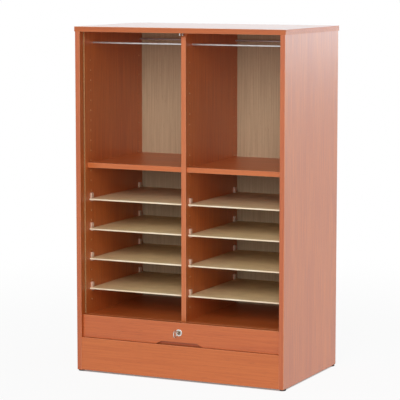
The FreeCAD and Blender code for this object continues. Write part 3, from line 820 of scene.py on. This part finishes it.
def backScrews():
    look = screwLook
    low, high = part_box("back_screws")
    radius = look["head"] / 2
    rise = look["rise"]
    master = addRod("screwMaster", Vector((0, rise / 2, 0)), "y", radius, rise, look["sides"])
    pickEdges(master, lambda a, b: near(a.y, rise) and near(b.y, rise))
    bpy.ops.mesh.bevel(offset=look["dome"], segments=look["domeSteps"], affect="EDGES")
    bpy.ops.object.mode_set(mode="OBJECT")
    long, thin = look["slotLength"] / 2, look["slotWidth"] / 2
    middle = Vector((0, rise, 0))
    for x, z in ((long, thin), (thin, long)):
        corner = Vector((x, look["slotDepth"], z))
        cutAway(master, addBlock("slotCutter", middle - corner, middle + corner))
    across = radius * math.cos(math.pi / 6)  # the solid heads have six sides, with flats towards x
    zLow, zHigh = low.z + radius, high.z - radius
    steps = [zLow + (zHigh - zLow) * i / (look["perSide"] - 1) for i in range(look["perSide"])]
    spots = [Vector((x, high.y - rise, z)) for x in (low.x + across, high.x - across) for z in steps]
    parts = [copyTo(master, spot) for spot in spots]
    bpy.data.objects.remove(master)
    screws = joinAll("backPanelScrews", parts)
    finishPiece(screws, "plain_steel")
    seat(screws, "cabinet", "back_screws")


backScrews()
print("back screws made")


# bent wire staple under the top panel
stapleLook = {"wire": 0.004, "bend": 0.005, "sides": 20, "bendSteps": 8}


def strikeStaple():
    look = stapleLook
    low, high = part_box("strike_staple")
    radius = look["wire"] / 2
    bend = look["bend"]
    yFront, yRear = low.y + radius, high.y - radius
    zBend = low.z + radius + bend
    clearSelection()
    bpy.ops.mesh.primitive_circle_add(
        vertices=look["sides"], radius=radius, fill_type="NGON", location=(0, yFront, high.z)
    )
    staple = freshPiece("lockStaple")
    pickAll()
    push(0, 0, zBend - high.z)
    quarter = {"steps": look["bendSteps"], "angle": math.pi / 2, "axis": (1, 0, 0)}
    bpy.ops.mesh.spin(center=(0, yFront + bend, zBend), **quarter)
    push(0, yRear - yFront - 2 * bend, 0)
    bpy.ops.mesh.spin(center=(0, yRear - bend, zBend), **quarter)
    push(0, 0, high.z - zBend)
    closeUp()
    finishPiece(staple, "rod_chrome")
    seat(staple, "cabinet", "strike_staple")


strikeStaple()
print("staple made")


# lock: a dished rosette on its barrel, a round plug with the keyway, and the key
lockLook = {
    "rosette": 0.022,
    "rise": 0.0025,
    "lip": 0.0008,
    "lipSteps": 4,
    "rim": 0.0006,
    "dish": 0.0008,
    "barrel": 0.016,
    "plug": 0.010,
    "plugGap": 0.0001,
    "plugEase": 0.0004,
    "plugEaseSteps": 3,
    "mouth": (0.0070, 0.0022, 0.0074),  # V of the keyway: wide end, narrow end and height
    "mouthDrop": 0.0008,
    "mouthDepth": 0.004,
    "sides": 64,
}


def lockRosette():
    look = lockLook
    low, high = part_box("lock_barrel")
    zAxis = (low.z + high.z) / 2
    railFront = low.y + look["rise"]
    dish, barrel = look["dish"], look["barrel"] / 2
    square = meshRules["square"]
    middle = Vector((0, (low.y + railFront) / 2, zAxis))
    rosette = addRod("lockRosette", middle, "y", look["rosette"] / 2, look["rise"], look["sides"])
    pickEdges(rosette, lambda a, b: near(a.y, low.y) and near(b.y, low.y))
    bpy.ops.mesh.bevel(offset=look["lip"], segments=look["lipSteps"], affect="EDGES")
    pickFaces(rosette, lambda c, n: n.y < -square)
    floorWidth = look["rosette"] / 2 - look["lip"] - look["rim"] - dish - barrel
    collar = barrel - dish - look["plug"] / 2 - look["plugGap"]
    for width, rise in ((look["rim"], 0), (dish, -dish), (floorWidth, 0), (dish, dish), (collar, 0)):
        bpy.ops.mesh.inset(thickness=width, depth=rise)
    push(0, high.y - low.y, 0)  # bore for the plug
    bpy.ops.mesh.delete(type="FACE")
    pickFaces(rosette, lambda c, n: n.y > square and near(c.y, railFront))
    bpy.ops.mesh.inset(thickness=look["rosette"] / 2 - barrel, depth=0)
    push(0, high.y - railFront, 0)
    bpy.ops.mesh.inset(thickness=collar + dish, depth=0)
    bpy.ops.mesh.delete(type="FACE")
    closeUp()
    paint(rosette, finishBySlot["lock_chrome"])
    rosette.data.materials.append(plugShadeSteel)
    for face in rosette.data.polygons:  # the collar round the plug is duller than the rim, and painted darker as painted shade
        if near(face.center.y, low.y) and math.hypot(face.center.x, face.center.z - zAxis) < barrel:
            face.material_index = 1
    finishPiece(rosette, "lock_chrome")
    seat(rosette, "tambour", "lock_barrel")


def lockPlug():
    look = lockLook
    low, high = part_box("lock_plug")
    middle = (low + high) / 2
    cylinder = addRod("lockCylinder", middle, "y", look["plug"] / 2, high.y - low.y, look["sides"])
    pickEdges(cylinder, lambda a, b: near(a.y, low.y) and near(b.y, low.y))
    bpy.ops.mesh.bevel(offset=look["plugEase"], segments=look["plugEaseSteps"], affect="EDGES")
    bpy.ops.object.mode_set(mode="OBJECT")
    wide, narrow, tall = look["mouth"]
    corner = Vector((wide / 2, look["mouthDepth"], tall / 2))
    mouth = Vector((0, low.y, middle.z - look["mouthDrop"]))
    cutter = addBlock("mouthCutter", mouth - corner, mouth + corner)
    pickFaces(cutter, lambda c, n: n.z < -meshRules["towards"])
    bpy.ops.transform.resize(value=(narrow / wide, 1, 1))
    bpy.ops.object.mode_set(mode="OBJECT")
    paint(cylinder, plugShadeSteel)
    # the keyway's walls take the painted shade of the cutter
    paint(cutter, keywayShade)
    cutAway(cylinder, cutter)
    finishPiece(cylinder, "lock_chrome")
    seat(cylinder, "lock", "lock_plug")


keyLook = {
    "bow": 0.025,
    "hole": 0.016,
    "shankHeight": 0.005,
    "bladeThickness": 0.0013,
    "bladeHeight": 0.0067,
    "bladeInset": 0.001,
    "ease": 0.0004,
    "bowSteps": 3,
    "bowAngle": 50,
    "bladeSteps": 2,
    "sides": 48,
}


def doorKey():
    look = keyLook
    low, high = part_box("door_key")
    zAxis = (low.z + high.z) / 2
    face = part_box("lock_plug")[0].y
    radius, hole = look["bow"] / 2, look["hole"] / 2
    yBow = low.y + radius
    key = addRod("keyBow", Vector((0, yBow, zAxis)), "x", radius, high.x - low.x, look["sides"])
    pickFaces(key, lambda c, n: abs(n.x) > meshRules["square"])
    bpy.ops.mesh.inset(thickness=radius - hole, depth=0)
    bpy.ops.mesh.delete(type="FACE")
    inRing = (hole + radius) / 2
    pickEdges(key, lambda a, b: all(math.hypot(p.y - yBow, p.z - zAxis) < inRing for p in (a, b)))
    bpy.ops.mesh.bridge_edge_loops()
    half = look["shankHeight"] / 2
    pickFaces(key, lambda c, n: n.y > 0 and abs(c.z - zAxis) < half and c.y > yBow + inRing)
    push(0, face - yBow - radius, 0)
    bpy.ops.transform.resize(value=(1, 0, 1))
    softenEdges(key, look["ease"], look["bowSteps"], look["bowAngle"])
    corner = Vector((look["bladeThickness"] / 2, 0, look["bladeHeight"] / 2))
    bladeRoot = Vector((0, face - look["bladeInset"], zAxis))
    blade = addBlock("keyBlade", bladeRoot - corner, Vector((0, high.y, zAxis)) + corner)
    softenEdges(blade, look["ease"], look["bladeSteps"])
    key = joinAll("doorKey", [key, blade])
    finishPiece(key, "key_metal")
    seat(key, "lock", "door_key")


lockRosette()
lockPlug()
doorKey()
print("lock made")


# roll-up curtain: even slats when the rail is up, packed together behind the plinth when it is down
curtainLook = {
    "pitch": 0.025,
    "gap": 0.0005,
    "crown": (0.0006, 4),  # depth at a slat's ends, and the power of its curve
    "rearDraw": (0.0012, 6),
    "hinge": 0.625,  # hinge line's share of the thickness, from the front
    "neck": 0.001,
    "cuts": (0.12, 0.3, 0.5, 0.7, 0.88),  # shares of the pitch where a slat is divided for its curve
    "halvings": 60,  # steps in the search for a height at rest
    "smoothAngle": 25,
}


def restHeight(raised, low, high):  # place at rest of a point of the raised curtain
    first, last = 0.0, 1.0
    for step in range(curtainLook["halvings"]):
        share = (first + last) / 2
        weight = share * share * (3 - 2 * share)  # the smooth curve of the blend
        if low + share * (high - low) + slideTravel * weight < raised:
            first = share
        else:
            last = share
    return low + first * (high - low)


def slatMaster(low, high, hingeY, pitch):
    look = curtainLook
    gap = look["gap"] / 2
    slat = addBlock("slatMaster", Vector((low.x, low.y, gap)), Vector((high.x, high.y, pitch - gap)))
    for share in look["cuts"]:
        pickAll()
        bpy.ops.mesh.bisect(plane_co=(0, 0, pitch * share), plane_no=(0, 0, 1))
    bpy.ops.object.mode_set(mode="OBJECT")
    crown, crownPower = look["crown"]
    draw, drawPower = look["rearDraw"]
    for v in slat.data.vertices:  # a crowned front and a rear that draws in at the hinges
        offMiddle = abs(v.co.z / pitch - 0.5) * 2
        if v.co.y < hingeY:
            v.co.y += crown * offMiddle**crownPower
        else:
            v.co.y -= draw * offMiddle**drawPower
    return slat


def rollCurtain():
    look = curtainLook
    low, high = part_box("lead_slat")
    hingeY = low.y + (high.y - low.y) * look["hinge"]
    raisedTop = high.z + slideTravel
    count = round((raisedTop - low.z) / look["pitch"])
    pitch = (raisedTop - low.z) / count
    master = slatMaster(low, high, hingeY, pitch)
    parts = [copyTo(master, Vector((0, 0, low.z + i * pitch))) for i in range(count)]
    bpy.data.objects.remove(master)
    half = look["neck"] / 2
    neckLow = Vector((low.x, hingeY - half, 0))
    neck = addBlock("neckMaster", neckLow, Vector((high.x, hingeY + half, pitch)))
    pickFaces(neck, lambda c, n: abs(n.z) > meshRules["towards"])
    bpy.ops.mesh.delete(type="ONLY_FACE")
    bpy.ops.object.mode_set(mode="OBJECT")
    necks = [copyTo(neck, Vector((0, 0, low.z + i * pitch))) for i in range(count)]
    bpy.data.objects.remove(neck)
    web = joinAll("curtainNeck", necks)
    closeUp()
    pickAll()
    bpy.ops.mesh.fill_holes(sides=4)  # its two ends
    closeUp()
    curtain = joinAll("rollCurtain", parts + [web])
    for v in curtain.data.vertices:
        v.co.z = restHeight(v.co.z, low.z, high.z)
    finishPiece(curtain, "slat_plastic", look["smoothAngle"])
    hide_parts("lead_slat")
    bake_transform(curtain)


rollCurtain()
print("curtain made")


# floor, light and camera
stageLook = {
    "floorSize": 400,
    "floor": (0.9, 0.9, 0.9, 1.0),
    "whiteNear": 0.92,  # share of plain white under the object, and from some metres away
    "whiteFar": 1.0,
    "fade": (0.7, 2.6),
    "whiteUnder": 0.16,  # and in the gap below the boards
    "underBand": (0.0, 0.007),  # how far in from the outline of the sides the gap darkens
    "wallLight": 0.56,
    "ceilingLight": 0.3,
    "ceilingBand": (0.05, 0.8),  # rise, as a share of straight up, over which wall turns to ceiling
}


def seenWhite(tree):  # 1 for what the camera, a reflection or glass looks at
    path = tree.nodes.new("ShaderNodeLightPath")
    seen = calc(tree, "MAXIMUM", path.outputs["Is Camera Ray"], path.outputs["Is Glossy Ray"])
    return calc(tree, "MAXIMUM", seen, path.outputs["Is Transmission Ray"])


def paleFloor():
    look = stageLook
    clearSelection()
    bpy.ops.mesh.primitive_plane_add(size=look["floorSize"], location=(0, 0, 0))
    floor = freshPiece("studioFloor")
    finish, tree, shader, place = startFinish("paleFloor")
    tree.nodes.remove(shader)
    matt = tree.nodes.new("ShaderNodeBsdfDiffuse")
    matt.inputs["Color"].default_value = look["floor"]
    glow = tree.nodes.new("ShaderNodeEmission")
    mix = tree.nodes.new("ShaderNodeMixShader")
    span = tree.nodes.new("ShaderNodeVectorMath")
    span.operation = "LENGTH"
    tree.links.new(place, span.inputs[0])
    white = remap(tree, span.outputs["Value"], *look["fade"], look["whiteNear"], look["whiteFar"])
    low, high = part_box("right_side")
    x, y = (axisOf(tree, place, axis) for axis in (axisX, axisY))
    inside = calc(tree, "SUBTRACT", high.x, calc(tree, "ABSOLUTE", x))
    for depth in (calc(tree, "SUBTRACT", y, low.y), calc(tree, "SUBTRACT", high.y, y)):
        inside = calc(tree, "MINIMUM", inside, depth)
    under = remap(tree, inside, *look["underBand"], 1.0, look["whiteUnder"])
    white = calc(tree, "MULTIPLY", white, under)
    tree.links.new(calc(tree, "MULTIPLY", seenWhite(tree), white), mix.inputs["Fac"])
    tree.links.new(matt.outputs[0], mix.inputs[1])
    tree.links.new(glow.outputs[0], mix.inputs[2])
    tree.links.new(mix.outputs[0], tree.nodes["Material Output"].inputs["Surface"])
    floor.data.materials.append(finish)


def studioWorld():
    look = stageLook
    world = bpy.data.worlds.new("studioWorld")
    bpy.context.scene.world = world
    world.use_nodes = True
    tree = world.node_tree
    sky = tree.nodes["Background"]
    sky.inputs["Color"].default_value = (1, 1, 1, 1)
    upwards = tree.nodes.new("ShaderNodeTexCoord").outputs["Generated"]
    rise = axisOf(tree, upwards, axisZ)
    glow = remap(tree, rise, *look["ceilingBand"], look["wallLight"], look["ceilingLight"])
    tree.links.new(calc(tree, "MAXIMUM", seenWhite(tree), glow), sky.inputs["Strength"])


lampLook = {
    "frontSoftbox": {
        "at": (1.6, -7.4, 3.2),
        "aim": (0, 0, 0.5),
        "size": (5.0, 4.6),
        "watts": 338,
        "colour": (1, 1, 1),
    },
    "sideSoftbox": {
        "at": (3.3, 1.4, 0.45),
        "aim": (0.36, 0, 0.3),
        "size": (1.6, 0.8),
        "watts": 27,
        "colour": (1, 0.98, 0.76),
    },
    "sheenSoftbox": {  # seen in the upper part of the right side
        "at": (2.0, 4.0, 1.15),
        "aim": (0.36, 0.1, 0.95),
        "size": (1.5, 0.5),
        "watts": 13.5,
        "colour": (0.7, 0.9, 1),
    },
    "backSoftbox": {  # seen in the top
        "at": (-2.3, 4.9, 1.8),
        "aim": (0, 0, 1.1),
        "size": (2.6, 1.4),
        "watts": 7,
        "colour": (0.6, 0.88, 1),
    },
}


def softbox(name, look):
    lamp = bpy.data.lights.new(name, "AREA")
    lamp.shape = "RECTANGLE"
    lamp.size, lamp.size_y = look["size"]
    lamp.energy = look["watts"]
    lamp.color = look["colour"]
    holder = bpy.data.objects.new(name, lamp)
    bpy.context.scene.collection.objects.link(holder)
    holder.location = look["at"]
    holder.visible_camera = False
    direction = Vector(look["aim"]) - Vector(look["at"])
    holder.rotation_euler = direction.to_track_quat("-Z", "Y").to_euler()


cameraLook = {
    "at": (2.61667, -5.55595, 1.29949),
    "yaw": -25.383,
    "pitch": -6.979,
    "lens": 174.74,
    "sensor": 36,
}


def photoCamera():
    look = cameraLook
    yaw, pitch = math.radians(look["yaw"]), math.radians(look["pitch"])
    ahead = Vector((math.sin(yaw) * math.cos(pitch), math.cos(yaw) * math.cos(pitch), math.sin(pitch)))
    lensData = bpy.data.cameras.new("photoCamera")
    lensData.sensor_width = look["sensor"]
    lensData.lens = look["lens"]
    lensData.clip_end = stageLook["floorSize"]
    camera = bpy.data.objects.new("photoCamera", lensData)
    bpy.context.scene.collection.objects.link(camera)
    camera.location = look["at"]
    camera.rotation_euler = ahead.to_track_quat("-Z", "Y").to_euler()
    bpy.context.scene.camera = camera


paleFloor()
studioWorld()
for lampName, lampValues in lampLook.items():
    softbox(lampName, lampValues)
photoCamera()
bpy.context.scene.view_settings.view_transform = "Standard"
print("stage, light and camera set")
